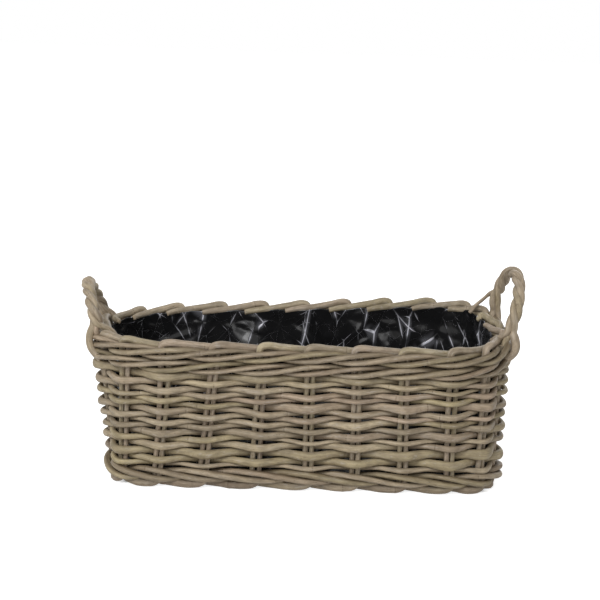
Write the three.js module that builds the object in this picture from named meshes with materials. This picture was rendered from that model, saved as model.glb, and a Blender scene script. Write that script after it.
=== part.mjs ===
import * as THREE from 'three';

// Oblong willow-work planter: stakes, randing, waling, roped handles, base slats and a film liner.
// Millimetres, +Z up, standing on z = 0, long side along X.

// Plan of the wall at ground level, measured to the middle of the stakes
const baseHalfLength = 198;
const baseHalfWidth = 88;
// The corners are squarer at the ground than at the rim
const baseCornerRadius = 44;
const rimCornerRadius = 72;
// Outward lean of the wall per millimetre of height: long sides, left end, right end
const wallFlare = 0.1;
const leftFlare = 0.145;
const rightFlare = 0.04;
// Height of the finished rim
const rimHeight = 154;
// The rim is out of level along the back: lift at its middle, climb to the right, and where the lift begins
const backLift = 4.5;
const backClimb = 0.053;
const liftFrom = 30;
// Sets the overall length evenly about the origin
const lengthwiseShift = 6.88;

// Stakes stand in pairs, counted from the middle of the front
const frontSteps = 3;
const cornerSteps = 2;
const cornerPitch = 36;
const endPitch = 43.1;
// Rod sizes
const stakeWidth = 5;
const weaverDepth = 6.2;
const waleDepth = 6.6;
// Clearance left between neighbouring rods, and the wider gaps between rods that lie loosely
const clearance = 0.35;
const looseGap = 0.7;
const pairGap = 1.05;
const borderGap = 1.05;
const strandGap = 1.05;
// Level stretch of a weaver past the outer side of a stake
const plateauMargin = 1.5;
// Randing: rows, and their climb to the right, most at mid height where a quarter of this is taken up
const weaverRows = 16;
const rowClimb = 0.12;
// Strands in a band of waling
const waleStrands = 3;
// Foot and border
const footBend = 8;
const footRunSteps = 2;
// Gap where two feet cross, how much of the crossing a leg has taken up above its bend, and a slight arch
const footGap = 1.4;
const footEase = 0.15;
const footLift = 0.1;
// Where in its bend a leg has parted from its neighbour: share turned along the ground, share of height left
const footTurn = 0.08;
const footDrop = 0.39;
const borderBend = 4.5;
const borderRunSteps = 3;
const borderTail = 0.38;
const tailDrop = 2;
// Handles
const handleStrands = 3;
const strandDepth = 6;
const handleShoulder = 10;
const handleTurns = 3;
// Height over the rim, how far outside the stakes the rope starts, and the outward lean of its two legs
const rightHandle = { rise: 53, outset: 6, nearLean: 16, farLean: 10 };
const leftHandle = { rise: 42, outset: 3, nearLean: 20, farLean: 13 };
const strandStepsPerTurn = 8;
// Length of strand driven down beside the stakes, and how far a lashed end leans along the rim
const strandInsert = 52;
const lashingLean = 11;
// Share of the arch at each leg where the strands part
const ropeMargin = 0.05;
// Base and liner
const slatThickness = 3.4;
const slatWidth = 15;
// Place of the cross slats from the middle, in steps between pairs
const crossSlatSteps = 1.5;
const linerThickness = 1.4;
const linerFloorRound = 10;
const linerBelowRim = 7;

// Sizes that follow from the ones above
const quarterLength = quarterOf(rimCornerRadius);
const frontPitch = (quarterLength - cornerSteps * cornerPitch - endPitch) / frontSteps;
const quarterSteps = frontSteps + cornerSteps + 1;
const pairCount = quarterSteps * 4;
const stakeHalf = stakeWidth / 2;
const weaverHalf = weaverDepth / 2;
const waleHalf = waleDepth / 2;
const strandHalf = strandDepth / 2;
const pairSpread = stakeHalf + pairGap / 2;
const handleSpread = stakeHalf + strandHalf + clearance;
const waleStep = waleHalf + clearance;
const waleBand = 2 * (waleStep + waleHalf);
const borderHeight = rimHeight - stakeHalf;
const borderInward = stakeWidth + borderGap;
const upperWaleHeight = borderHeight - stakeHalf - clearance - waleBand / 2;
const lowerWaleHeight = upperWaleHeight - waleBand - clearance;
const footCross = stakeHalf + footGap;
const legMiddle = rimHeight / 2;
const footRunTop = stakeWidth;
const slatHeight = footRunTop + clearance;
const footWaleHeight = slatHeight + slatThickness + clearance + waleBand / 2;
const rowsBottom = footWaleHeight + waleBand / 2 + clearance;
const rowsTop = lowerWaleHeight - waleBand / 2 - clearance;
const rowPitch = (rowsTop - rowsBottom) / weaverRows;
// A chord across a pair in a corner dips by about this much
const chordDip = 0.8;
const rowReach = stakeHalf + weaverHalf + clearance + chordDip;
const waleReach = stakeHalf + waleHalf + clearance + chordDip;
const ropeRadius = strandHalf + strandGap;
const tailReach = waleReach + waleHalf + looseGap + strandHalf;
const lashingReach = borderInward * (1 + borderTail) + stakeHalf + strandHalf + looseGap;
const linerInset = waleReach + waleHalf + clearance + chordDip;
const linerFloor = slatHeight + 2 * (slatThickness + clearance);
const linerTop = rimHeight - linerBelowRim;

// Quarter of the way round the wall, from the middle of the front to the middle of an end
function quarterOf(radius) {
  return baseHalfLength + baseHalfWidth - (2 - Math.PI / 2) * radius;
}

// Distance of every pair from the middle of the front, going to the right
function pairPosition(index) {
  const turn = Math.floor(index / pairCount);
  const local = index - turn * pairCount;
  const quarter = Math.floor(local / quarterSteps);
  let step = local - quarter * quarterSteps;
  const backwards = quarter % 2 === 1;
  if (backwards) {
    step = quarterSteps - step;
  }
  let along = Math.min(step, frontSteps) * frontPitch;
  along += Math.max(0, Math.min(step - frontSteps, cornerSteps)) * cornerPitch;
  along += Math.max(0, step - frontSteps - cornerSteps) * endPitch;
  if (backwards) {
    along = quarterLength - along;
  }
  return (turn * 4 + quarter) * quarterLength + along;
}

// Half the distance between the two stakes of a pair; wider where a handle is driven in
function spreadOf(index) {
  const local = ((index % pairCount) + pairCount) % pairCount;
  const fromEnd = Math.abs((local % (2 * quarterSteps)) - quarterSteps);
  return fromEnd === 1 ? handleSpread : pairSpread;
}

// The legs of neighbouring stakes cross at a pair, but not where a handle is driven in
function crossesAt(index) {
  return spreadOf(index) === pairSpread;
}

// Where in a pair the leg stands that turns over into the border
function hookPosition(index) {
  return pairPosition(index) + (crossesAt(index) ? -1 : 1) * spreadOf(index);
}

// Half the length over which a weaver runs level past a pair
function plateauOf(index) {
  return spreadOf(index) + stakeHalf + plateauMargin;
}

// Point and outward direction of the wall plan at a distance along it.
// A distance keeps its share of the way round whatever the corner radius.
function planAt(along, radius) {
  const turn = along / (4 * quarterLength);
  const share = 4 * (turn - Math.floor(turn));
  const quarter = Math.min(Math.floor(share), 3);
  const local = share - quarter;
  const t = (quarter % 2 === 0 ? local : 1 - local) * quarterOf(radius);
  const frontStraight = baseHalfLength - radius;
  const endStraight = baseHalfWidth - radius;
  const arcEnd = frontStraight + radius * Math.PI / 2;
  const angle = Math.min(Math.max((t - frontStraight) / radius, 0), Math.PI / 2);
  const x = Math.min(t, frontStraight) + radius * Math.sin(angle);
  const y = -endStraight - radius * Math.cos(angle) + Math.max(t - arcEnd, 0);
  const signX = quarter < 2 ? 1 : -1;
  const signY = quarter === 0 || quarter === 3 ? 1 : -1;
  return {
    x: x * signX,
    y: y * signY,
    outward: new THREE.Vector3(Math.sin(angle) * signX, -Math.cos(angle) * signY, 0),
  };
}

// A place in the wall: distance along it, height, and depth measured outwards from the stakes
function wallPoint(along, height, depth) {
  const share = Math.min(Math.max(height / rimHeight, 0), 1);
  const plan = planAt(along, baseCornerRadius + (rimCornerRadius - baseCornerRadius) * share);
  const endFlare = plan.outward.x > 0 ? rightFlare : leftFlare;
  const flare = wallFlare + (endFlare - wallFlare) * plan.outward.x ** 2;
  const position = new THREE.Vector3(plan.x, plan.y, height);
  position.addScaledVector(plan.outward, flare * height + depth);
  const towardsBack = Math.min(Math.max(0.5 + position.y / (2 * baseHalfWidth), 0), 1);
  const lifted = Math.max(height - liftFrom, 0) / (rimHeight - liftFrom);
  position.z += lifted * towardsBack * (backLift + backClimb * position.x);
  position.x += lengthwiseShift;
  return { position, outward: plan.outward };
}

// Lofts a four-sided rod through stations; each station has a centre, a side direction and two half sizes
function rodGeometry(stations, closed, corners) {
  const count = stations.length;
  const vertices = [];
  const indices = [];
  for (let i = 0; i < count; i += 1) {
    const before = stations[closed ? (i + count - 1) % count : Math.max(i - 1, 0)].position;
    const after = stations[closed ? (i + 1) % count : Math.min(i + 1, count - 1)].position;
    const here = stations[i];
    const forward = after.clone().sub(before).normalize();
    const side = here.outward.clone();
    side.addScaledVector(forward, -side.dot(forward)).normalize();
    const up = new THREE.Vector3().crossVectors(side, forward);
    for (const [across, along] of corners) {
      const point = here.position.clone();
      point.addScaledVector(side, across * here.sideHalf);
      point.addScaledVector(up, along * here.upHalf);
      vertices.push(point.x, point.y, point.z);
    }
  }
  const spans = closed ? count : count - 1;
  for (let i = 0; i < spans; i += 1) {
    const a = i * 4;
    const b = ((i + 1) % count) * 4;
    for (let k = 0; k < 4; k += 1) {
      const n = (k + 1) % 4;
      indices.push(a + k, b + n, b + k);
      indices.push(a + k, a + n, b + n);
    }
  }
  if (!closed) {
    const last = (count - 1) * 4;
    indices.push(0, 2, 1, 0, 3, 2);
    indices.push(last, last + 1, last + 2, last, last + 2, last + 3);
  }
  const geometry = new THREE.BufferGeometry();
  geometry.setAttribute('position', new THREE.Float32BufferAttribute(vertices, 3));
  geometry.setIndex(indices);
  geometry.computeVertexNormals();
  return geometry;
}
const squareCorners = [[1, 1], [1, -1], [-1, -1], [-1, 1]];
const roundCorners = [[1, 0], [0, -1], [-1, 0], [0, 1]];

const planter = new THREE.Group();
planter.name = 'basket_planter';

function addMesh(name, geometry, color, roughness) {
  const material = new THREE.MeshStandardMaterial({ color, roughness, metalness: 0 });
  material.name = `${name}_finish`;
  const mesh = new THREE.Mesh(geometry, material);
  mesh.name = name;
  planter.add(mesh);
}

function label(index) {
  return String(index + 1).padStart(2, '0');
}

function station(along, height, depth, sideHalf, upHalf) {
  return { ...wallPoint(along, height, depth), sideHalf, upHalf };
}

// Finishes
const caneColors = ['#9a8b78', '#8d7f6c', '#a39480', '#93846d', '#877a69'];
const stakeRoughness = 0.7;
const caneRoughness = 0.65;
const slatColor = '#8a7a63';
const slatRoughness = 0.8;
const filmColor = '#111214';
const filmRoughness = 0.25;

// Stakes: one rod folded at the foot, standing in two neighbouring pairs.
// One leg is trimmed under the border; the other turns over to the right and becomes the border.
function stakeGeometry(index) {
  const left = hookPosition(index);
  const right = 2 * pairPosition(index + 1) - hookPosition(index + 1);
  const leftCross = crossesAt(index) ? footCross : 0;
  const rightCross = crossesAt(index + 1) ? footCross : 0;
  const next = hookPosition(index + 1);
  const nextPitch = hookPosition(index + 2) - next;
  const trimmed = borderHeight - stakeHalf - borderGap;
  const rod = (along, height, depth) => station(along, height, depth, stakeHalf, stakeHalf);
  const stations = [];
  const corner = 1 - Math.SQRT1_2;
  stations.push(rod(right, trimmed, 0));
  stations.push(rod(right, legMiddle, 0));
  stations.push(rod(right, stakeHalf + footBend, rightCross * footEase));
  stations.push(rod(right - footBend * footTurn, stakeHalf + footBend * footDrop, rightCross));
  const runStart = right - footBend;
  const runEnd = left + footBend;
  for (let i = 0; i <= footRunSteps; i += 1) {
    const share = i / footRunSteps;
    const depth = rightCross * Math.max(1 - 2 * share, 0) - leftCross * Math.max(2 * share - 1, 0);
    const height = stakeHalf + footLift * Math.abs(1 - 2 * share);
    stations.push(rod(runStart + (runEnd - runStart) * share, height, depth));
  }
  stations.push(rod(left + footBend * footTurn, stakeHalf + footBend * footDrop, -leftCross));
  stations.push(rod(left, stakeHalf + footBend, -leftCross * footEase));
  stations.push(rod(left, legMiddle, 0));
  stations.push(rod(left, borderHeight - borderBend, 0));
  stations.push(rod(left + borderBend * corner, borderHeight - borderBend * corner, 0));
  const borderStart = left + borderBend;
  const borderEnd = next - stakeHalf - borderGap;
  for (let i = 0; i <= borderRunSteps; i += 1) {
    const slide = i / borderRunSteps;
    stations.push(rod(borderStart + (borderEnd - borderStart) * slide, borderHeight, -borderInward * slide));
  }
  stations.push(rod(next + borderBend, borderHeight, -borderInward));
  const tail = nextPitch * borderTail;
  const tailSlide = (tail - borderBend) / (nextPitch - borderBend - stakeHalf - borderGap);
  stations.push(rod(next + tail, borderHeight - tailDrop * tailSlide, -borderInward * (1 + tailSlide)));
  return rodGeometry(stations, false, squareCorners);
}
for (let i = 0; i < pairCount; i += 1) {
  addMesh(`stake_${label(i)}`, stakeGeometry(i), caneColors[i % caneColors.length], stakeRoughness);
}

// Randing: each row passes in front of one pair and behind the next; rows alternate
function weaverGeometry(row) {
  const level = (row + 0.5) / weaverRows;
  const stations = [];
  for (let i = 0; i < pairCount; i += 1) {
    const front = (i + row) % 2 === 0 ? 1 : -1;
    const plateau = plateauOf(i);
    for (const side of [-1, 1]) {
      const along = pairPosition(i) + side * plateau;
      const climb = rowClimb * planAt(along, rimCornerRadius).x;
      const height = rowsBottom + level * (rowsTop - rowsBottom) + climb * level * (1 - level);
      const room = rowPitch * (1 + climb * (1 - 2 * level) / (rowsTop - rowsBottom));
      stations.push(station(along, height, front * rowReach, weaverHalf, (room - clearance) / 2));
    }
  }
  return rodGeometry(stations, true, roundCorners);
}
for (let row = 0; row < weaverRows; row += 1) {
  const color = caneColors[(row * 2 + 1) % caneColors.length];
  addMesh(`weaver_row_${label(row)}`, weaverGeometry(row), color, caneRoughness);
}

// Waling: three strands, each in front of two pairs and behind one, climbing (or falling) as it goes
function waleGeometry(center, strand, climb) {
  const rise = climb * waleStep;
  // Height on arriving at a pair, height on leaving it, and side of the pair, by place in the stroke
  const stroke = [
    { arrive: rise, leave: -rise, side: -1 },
    { arrive: -rise, leave: -rise, side: 1 },
    { arrive: rise, leave: rise, side: 1 },
  ];
  const stations = [];
  for (let i = 0; i < pairCount; i += 1) {
    const step = stroke[(i + strand) % stroke.length];
    const plateau = plateauOf(i);
    const depth = step.side * waleReach;
    stations.push(station(pairPosition(i) - plateau, center + step.arrive, depth, waleHalf, waleHalf));
    stations.push(station(pairPosition(i) + plateau, center + step.leave, depth, waleHalf, waleHalf));
  }
  return rodGeometry(stations, true, roundCorners);
}
const waleBands = [
  { name: 'upper_wale', height: upperWaleHeight, climb: 1 },
  { name: 'lower_wale', height: lowerWaleHeight, climb: 1 },
  { name: 'foot_wale', height: footWaleHeight, climb: -1 },
];
for (const band of waleBands) {
  for (let strand = 0; strand < waleStrands; strand += 1) {
    const geometry = waleGeometry(band.height, strand, band.climb);
    const color = caneColors[(strand + 2) % caneColors.length];
    addMesh(`${band.name}_${label(strand)}`, geometry, color, caneRoughness);
  }
}

// Handles: three strands twisted into a rope that arches between two pairs of stakes
// Centre of the rope at a share of its length: a straight leg, half an ellipse, and a straight leg
function archPoint(near, far, handle, share) {
  const foot = wallPoint(near, rimHeight, handle.outset).position;
  const other = wallPoint(far, rimHeight, handle.outset).position;
  const crown = handle.rise - handleShoulder;
  const arcLength = Math.PI * Math.hypot(foot.distanceTo(other) / 2, crown) * Math.SQRT1_2;
  const travelled = share * (2 * handleShoulder + arcLength);
  const angle = Math.PI * Math.min(Math.max((travelled - handleShoulder) / arcLength, 0), 1);
  const leg = Math.min(travelled, 2 * handleShoulder + arcLength - travelled, handleShoulder);
  const across = (1 - Math.cos(angle)) / 2;
  const over = leg + crown * Math.sin(angle);
  const lean = handle.nearLean + (handle.farLean - handle.nearLean) * across;
  const point = foot.lerp(other, across);
  point.addScaledVector(planAt((near + far) / 2, rimCornerRadius).outward, lean * over / handle.rise);
  point.z += over;
  return point;
}
function strandStation(position, outward, half = strandHalf) {
  return { position, outward, sideHalf: half, upHalf: half };
}
// Where a strand leaves the rope at a leg: over the waling outside, over the border,
// or down between the stakes
function strandTail(strand, along, away) {
  const place = (offset, height, depth, half) => {
    const point = wallPoint(along + away * offset, height, depth);
    return strandStation(point.position, point.outward, half);
  };
  if (strand === 0) {
    return [place(0, borderHeight, tailReach), place(0, lowerWaleHeight, tailReach)];
  }
  if (strand === 1) {
    const crossing = rimHeight + strandDepth + clearance;
    return [place(lashingLean, crossing, 0), place(lashingLean * 2, rimHeight, -lashingReach)];
  }
  return [place(0, rimHeight, 0, stakeHalf), place(0, rimHeight - strandInsert, 0, stakeHalf)];
}
function strandGeometry(near, far, handle, strand) {
  const facing = planAt((near + far) / 2, rimCornerRadius).outward;
  const steps = Math.round(handleTurns * strandStepsPerTurn);
  const stations = [];
  for (let i = 0; i <= steps; i += 1) {
    const share = ropeMargin + (1 - 2 * ropeMargin) * i / steps;
    const here = archPoint(near, far, handle, share);
    const forward = archPoint(near, far, handle, share + ropeMargin / 2);
    forward.sub(archPoint(near, far, handle, share - ropeMargin / 2)).normalize();
    const side = facing.clone();
    side.addScaledVector(forward, -side.dot(forward)).normalize();
    const up = new THREE.Vector3().crossVectors(side, forward);
    const angle = 2 * Math.PI * (handleTurns * i / steps + strand / handleStrands);
    const radial = side.multiplyScalar(Math.cos(angle)).addScaledVector(up, Math.sin(angle));
    stations.push(strandStation(here.addScaledVector(radial, ropeRadius), radial));
  }
  stations.unshift(...strandTail(strand, near, -1).reverse());
  stations.push(...strandTail(strand, far, 1));
  return rodGeometry(stations, false, roundCorners);
}
for (const [name, quarters, handle] of [['right_handle', 1, rightHandle], ['left_handle', 3, leftHandle]]) {
  const near = pairPosition(quarters * quarterSteps - 1);
  const far = pairPosition(quarters * quarterSteps + 1);
  for (let strand = 0; strand < handleStrands; strand += 1) {
    const geometry = strandGeometry(near, far, handle, strand);
    addMesh(`${name}_strand_${label(strand)}`, geometry, caneColors[strand], caneRoughness);
  }
}

// Base: two long slats resting on the foot at the ends, two short ones across them
function slatGeometry(length, width, thickness, x, y, z) {
  const geometry = new THREE.BoxGeometry(length, width, thickness);
  geometry.translate(x + lengthwiseShift, y, z + thickness / 2);
  return geometry;
}
const longSlatY = endPitch / 2;
const longSlatLength = 2 * baseHalfLength;
const crossSlatLength = 2 * (baseHalfWidth - linerInset - clearance);
const crossSlatX = frontPitch * crossSlatSteps;
for (const side of [-1, 1]) {
  const name = side < 0 ? 'front' : 'back';
  const geometry = slatGeometry(longSlatLength, slatWidth, slatThickness, 0, side * longSlatY, slatHeight);
  addMesh(`base_slat_${name}`, geometry, slatColor, slatRoughness);
}
for (const side of [-1, 1]) {
  const name = side < 0 ? 'left' : 'right';
  const z = slatHeight + slatThickness + clearance;
  const geometry = slatGeometry(slatWidth, crossSlatLength, slatThickness, side * crossSlatX, 0, z);
  addMesh(`base_slat_${name}`, geometry, slatColor, slatRoughness);
}

// Liner: a thin open tub of film standing on the slats, just inside the weave
function linerGeometry() {
  const perPair = 2;
  const count = pairCount * perPair;
  const vertices = [];
  const indices = [];
  const levels = [
    { height: linerFloor, depth: -linerInset - linerFloorRound },
    { height: linerFloor + linerFloorRound, depth: -linerInset },
    { height: linerTop, depth: -linerInset },
    { height: linerTop, depth: -linerInset - linerThickness },
    { height: linerFloor + linerFloorRound, depth: -linerInset - linerThickness },
    { height: linerFloor + linerThickness, depth: -linerInset - linerFloorRound },
  ];
  for (const level of levels) {
    for (let i = 0; i < count; i += 1) {
      const pair = Math.floor(i / perPair);
      const share = (i % perPair) / perPair;
      const along = pairPosition(pair) + (pairPosition(pair + 1) - pairPosition(pair)) * share;
      const point = wallPoint(along, level.height, level.depth).position;
      vertices.push(point.x, point.y, point.z);
    }
  }
  for (let k = 0; k + 1 < levels.length; k += 1) {
    for (let i = 0; i < count; i += 1) {
      const n = (i + 1) % count;
      const a = k * count;
      const b = a + count;
      indices.push(a + i, a + n, b + n);
      indices.push(a + i, b + n, b + i);
    }
  }
  const under = vertices.length / 3;
  vertices.push(lengthwiseShift, 0, linerFloor);
  const over = under + 1;
  vertices.push(lengthwiseShift, 0, linerFloor + linerThickness);
  const top = (levels.length - 1) * count;
  for (let i = 0; i < count; i += 1) {
    const n = (i + 1) % count;
    indices.push(under, n, i);
    indices.push(over, top + i, top + n);
  }
  const geometry = new THREE.BufferGeometry();
  geometry.setAttribute('position', new THREE.Float32BufferAttribute(vertices, 3));
  geometry.setIndex(indices);
  geometry.computeVertexNormals();
  return geometry;
}
addMesh('liner', linerGeometry(), filmColor, filmRoughness);

export default planter;
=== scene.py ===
import bmesh
import bpy
import numpy as np
from mathutils import Matrix


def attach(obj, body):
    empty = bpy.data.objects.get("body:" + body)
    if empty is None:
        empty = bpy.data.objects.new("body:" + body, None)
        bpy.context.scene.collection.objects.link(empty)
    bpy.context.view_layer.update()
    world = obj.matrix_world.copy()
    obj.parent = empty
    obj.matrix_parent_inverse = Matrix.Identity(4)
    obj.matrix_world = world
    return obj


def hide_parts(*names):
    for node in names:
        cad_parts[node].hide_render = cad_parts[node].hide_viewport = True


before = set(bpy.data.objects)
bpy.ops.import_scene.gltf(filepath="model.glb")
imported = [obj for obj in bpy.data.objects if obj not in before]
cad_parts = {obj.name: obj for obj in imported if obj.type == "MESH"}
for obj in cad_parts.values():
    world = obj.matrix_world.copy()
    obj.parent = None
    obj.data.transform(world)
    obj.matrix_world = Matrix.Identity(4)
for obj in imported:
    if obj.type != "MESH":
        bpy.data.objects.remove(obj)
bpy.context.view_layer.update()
print("frame loaded with", len(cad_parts), "nodes")

# Lengths are millimetres until a mesh is made; +Z is up, the long side lies along X, the front faces -Y
metre = 0.001
fullTurn = 2 * np.pi

# The wall's plan on the ground, measured to the middle of the stakes, and the pairs of stakes along it
wall = {
    "halfLength": 198.0,
    "halfWidth": 88.0,
    "cornerRadius": 72.0,    # at the rim
    "baseRadius": 44.0,      # the same at the ground, where the corners are squarer, more so on the left
    "leftBaseRadius": 28.0,
    "leftInset": 4.5,        # how far the left end draws in at the ground
    "flare": 0.1,            # outward lean per millimetre of height, on the long sides
    "leftFlare": 0.145,
    "rightFlare": 0.04,
    "rimHeight": 154.0,
    "backLift": 4.5,         # rise of the rim along the back, its climb to the right, and where it begins
    "backClimb": 0.053,
    "liftFrom": 30.0,
    "shift": 6.88,           # sets the overall length evenly about the origin
    "stakeLean": 2.2,        # how far the stakes wander sideways below the rim
    "frontSteps": 3,         # pairs from the middle of the front to the corner
    "cornerSteps": 2,
    "cornerPitch": 36.0,
    "endPitch": 43.1,
    "pairSpread": 3.0,       # from the middle of a pair to each stake
    "handleSpread": 5.85,    # the same where a handle is driven in
    "handlePairs": (5, 7, 17, 19),
}

halfFront = wall["halfLength"] - wall["cornerRadius"]
halfEnd = wall["halfWidth"] - wall["cornerRadius"]
arcEnd = halfFront + wall["cornerRadius"] * np.pi / 2
quarterLength = arcEnd + halfEnd
fullLength = 4 * quarterLength
cornerLength = wall["cornerSteps"] * wall["cornerPitch"]
frontPitch = (quarterLength - cornerLength - wall["endPitch"]) / wall["frontSteps"]
quarterPitches = np.array(
    [frontPitch] * wall["frontSteps"] + [wall["cornerPitch"]] * wall["cornerSteps"] + [wall["endPitch"]])
allPitches = np.concatenate([quarterPitches, quarterPitches[::-1]] * 2)
pairPlaces = np.concatenate([[0.0], np.cumsum(allPitches)])
pairCount = len(allPitches)


# Distance along the wall of a pair; the index may be a fraction, or run past the last pair
def pairAlong(index):
    turn = np.floor(np.asarray(index, float) / pairCount)
    return np.interp(index - turn * pairCount, np.arange(pairCount + 1), pairPlaces) + turn * fullLength


# The other way about: which pair, with its fraction, lies at a distance along the wall
def pairIndex(along):
    turn = np.floor(np.asarray(along, float) / fullLength)
    return np.interp(along - turn * fullLength, pairPlaces, np.arange(pairCount + 1)) + turn * pairCount


def holdsHandle(index):
    return index % pairCount in wall["handlePairs"]


def spreadOf(index):
    return wall["handleSpread" if holdsHandle(index) else "pairSpread"]


# The leg that turns over into the border; neighbouring legs cross at a pair, except where a handle is
# driven in
def hookAlong(index):
    return float(pairAlong(index)) + (1 if holdsHandle(index) else -1) * spreadOf(index)


# Plan: half the front, a quarter circle and half the end, then mirrored for the other quarters; a distance
# along the wall keeps its share of the way round whatever the corner radius
def planAt(along, radius):
    share = np.mod(along, fullLength) / quarterLength
    quarter = np.minimum(np.floor(share), 3)
    local = share - quarter
    front, end = wall["halfLength"] - radius, wall["halfWidth"] - radius
    arc = radius * np.pi / 2
    t = np.where(quarter % 2 == 0, local, 1 - local) * (front + arc + end)
    angle = np.clip((t - front) / radius, 0, np.pi / 2)
    signX = np.where(quarter < 2, 1.0, -1.0)
    signY = np.where((quarter == 0) | (quarter == 3), 1.0, -1.0)
    x = np.minimum(t, front) + radius * np.sin(angle)
    y = -end - radius * np.cos(angle) + np.maximum(t - front - arc, 0)
    outward = np.stack([np.sin(angle) * signX, -np.cos(angle) * signY, 0 * angle], -1)
    return x * signX, y * signY, outward


# A place in the wall: the plan point, moved outwards by the lean at that height and by the depth;
# the rim is a little out of level along the back, and the stakes wander sideways on their way down
def wallPoints(along, height, depth):
    along, height, depth = np.broadcast_arrays(*(np.asarray(v, float) for v in (along, height, depth)))
    share = height / wall["rimHeight"]
    turn = along / fullLength * fullTurn
    sway = np.sin(3 * turn + 0.8) + 0.8 * np.sin(7 * turn + 2.1) + 0.5 * np.sin(4 * turn)
    onLeft = np.mod(along, fullLength) > fullLength / 2
    baseRadius = np.where(onLeft, wall["leftBaseRadius"], wall["baseRadius"])
    radius = baseRadius + (wall["cornerRadius"] - baseRadius) * np.clip(share, 0, 1)
    x, y, outward = planAt(along + wall["stakeLean"] * sway * np.clip(1 - share, 0, 1), radius)
    endFlare = np.where(outward[..., 0] > 0, wall["rightFlare"], wall["leftFlare"])
    flare = wall["flare"] + (endFlare - wall["flare"]) * outward[..., 0] ** 2
    inset = wall["leftInset"] * np.clip(1 - share, 0, 1) * np.clip(-outward[..., 0], 0, 1) ** 2
    points = np.stack([x, y, height], -1) + outward * (flare * height + depth - inset)[..., None]
    back = np.clip(0.5 + points[..., 1] / (2 * wall["halfWidth"]), 0, 1)
    lifted = np.maximum(height - wall["liftFrom"], 0) / (wall["rimHeight"] - wall["liftFrom"])
    points[..., 2] += lifted * back * (wall["backLift"] + wall["backClimb"] * points[..., 0])
    points[..., 0] += wall["shift"]
    return points, outward


# A smooth random curve: random values at even knots, joined by cosine steps
def wander(rng, count, knots, closed=False):
    values = rng.normal(0, 1, knots)
    values = np.append(values, values[0] if closed else rng.normal())
    place = np.linspace(0, knots, count, endpoint=not closed)
    low = np.minimum(place.astype(int), knots - 1)
    share = (1 - np.cos(np.pi * (place - low))) / 2
    return values[low] * (1 - share) + values[low + 1] * share


# Cubic curve through points: each span is a Hermite cubic whose end slopes come from the neighbours
def splineThrough(points, spacing):
    points = np.asarray(points, float)
    chord = np.linalg.norm(np.diff(points, axis=0), axis=1)
    knots = np.concatenate([[0.0], np.cumsum(chord)])
    slope = np.gradient(points, knots, axis=0)
    t = np.linspace(0, knots[-1], int(np.ceil(knots[-1] / spacing)) + 1)
    i = np.clip(np.searchsorted(knots, t, "right") - 1, 0, len(chord) - 1)
    h = chord[i][:, None]
    f = ((t - knots[i]) / chord[i])[:, None]
    return (points[i] * (1 + 2 * f) * (1 - f) ** 2 + slope[i] * h * f * (1 - f) ** 2
            + points[i + 1] * f ** 2 * (3 - 2 * f) - slope[i + 1] * h * f ** 2 * (1 - f))


# Softens the corners of a curve: the mean over a short window of its own points
def easePath(path, reach):
    kernel = np.hanning(2 * reach + 3)[1:-1]
    kernel /= kernel.sum()
    padded = np.concatenate([np.repeat(path[:1], reach, 0), path, np.repeat(path[-1:], reach, 0)])
    eased = np.stack([np.convolve(padded[:, k], kernel, "valid") for k in range(path.shape[1])], -1)
    eased[0], eased[-1] = path[0], path[-1]
    return eased


def unit(vectors):
    return vectors / np.maximum(np.linalg.norm(vectors, axis=-1, keepdims=True), 1e-9)


# Puts arrays into a new object at the origin; marks are float attributes, one value per vertex
def meshPiece(name, vertices, quads, triangles, loopUv, marks):
    mesh = bpy.data.meshes.new(name)
    mesh.from_pydata((vertices * metre).tolist(), [], quads.tolist() + triangles.tolist())
    uvLayer = mesh.uv_layers.new(name="surface")
    uvLayer.data.foreach_set("uv", loopUv.astype(np.float32).ravel())
    for key, values in marks.items():
        layer = mesh.attributes.new(key, "FLOAT", "POINT")
        layer.data.foreach_set("value", np.ascontiguousarray(values, np.float32))
    mesh.polygons.foreach_set("use_smooth", np.ones(len(mesh.polygons), bool))
    mesh.update()
    piece = bpy.data.objects.new(name, mesh)
    bpy.context.scene.collection.objects.link(piece)
    return piece


def standFor(piece, node, finish):
    piece.data.materials.append(finish)
    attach(piece, "root")
    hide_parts(node)


# How every length of cane is shaped, whatever it is used for
cane = {
    "sides": 12,
    "ringSpacing": (80.0, 240.0),   # between the growth rings
    "ringBefore": -60.0,            # one before the start of every rod
    "ringSwell": 0.07,
    "ringWidth": 2.2,
    "lumps": 0.035,                 # how far from round
    "cutBevel": 0.45,
    "cutShare": 0.84,               # size of the cut face
    "seamEdge": 5,                  # higher keeps the painted shade nearer to the next rod
}
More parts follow.
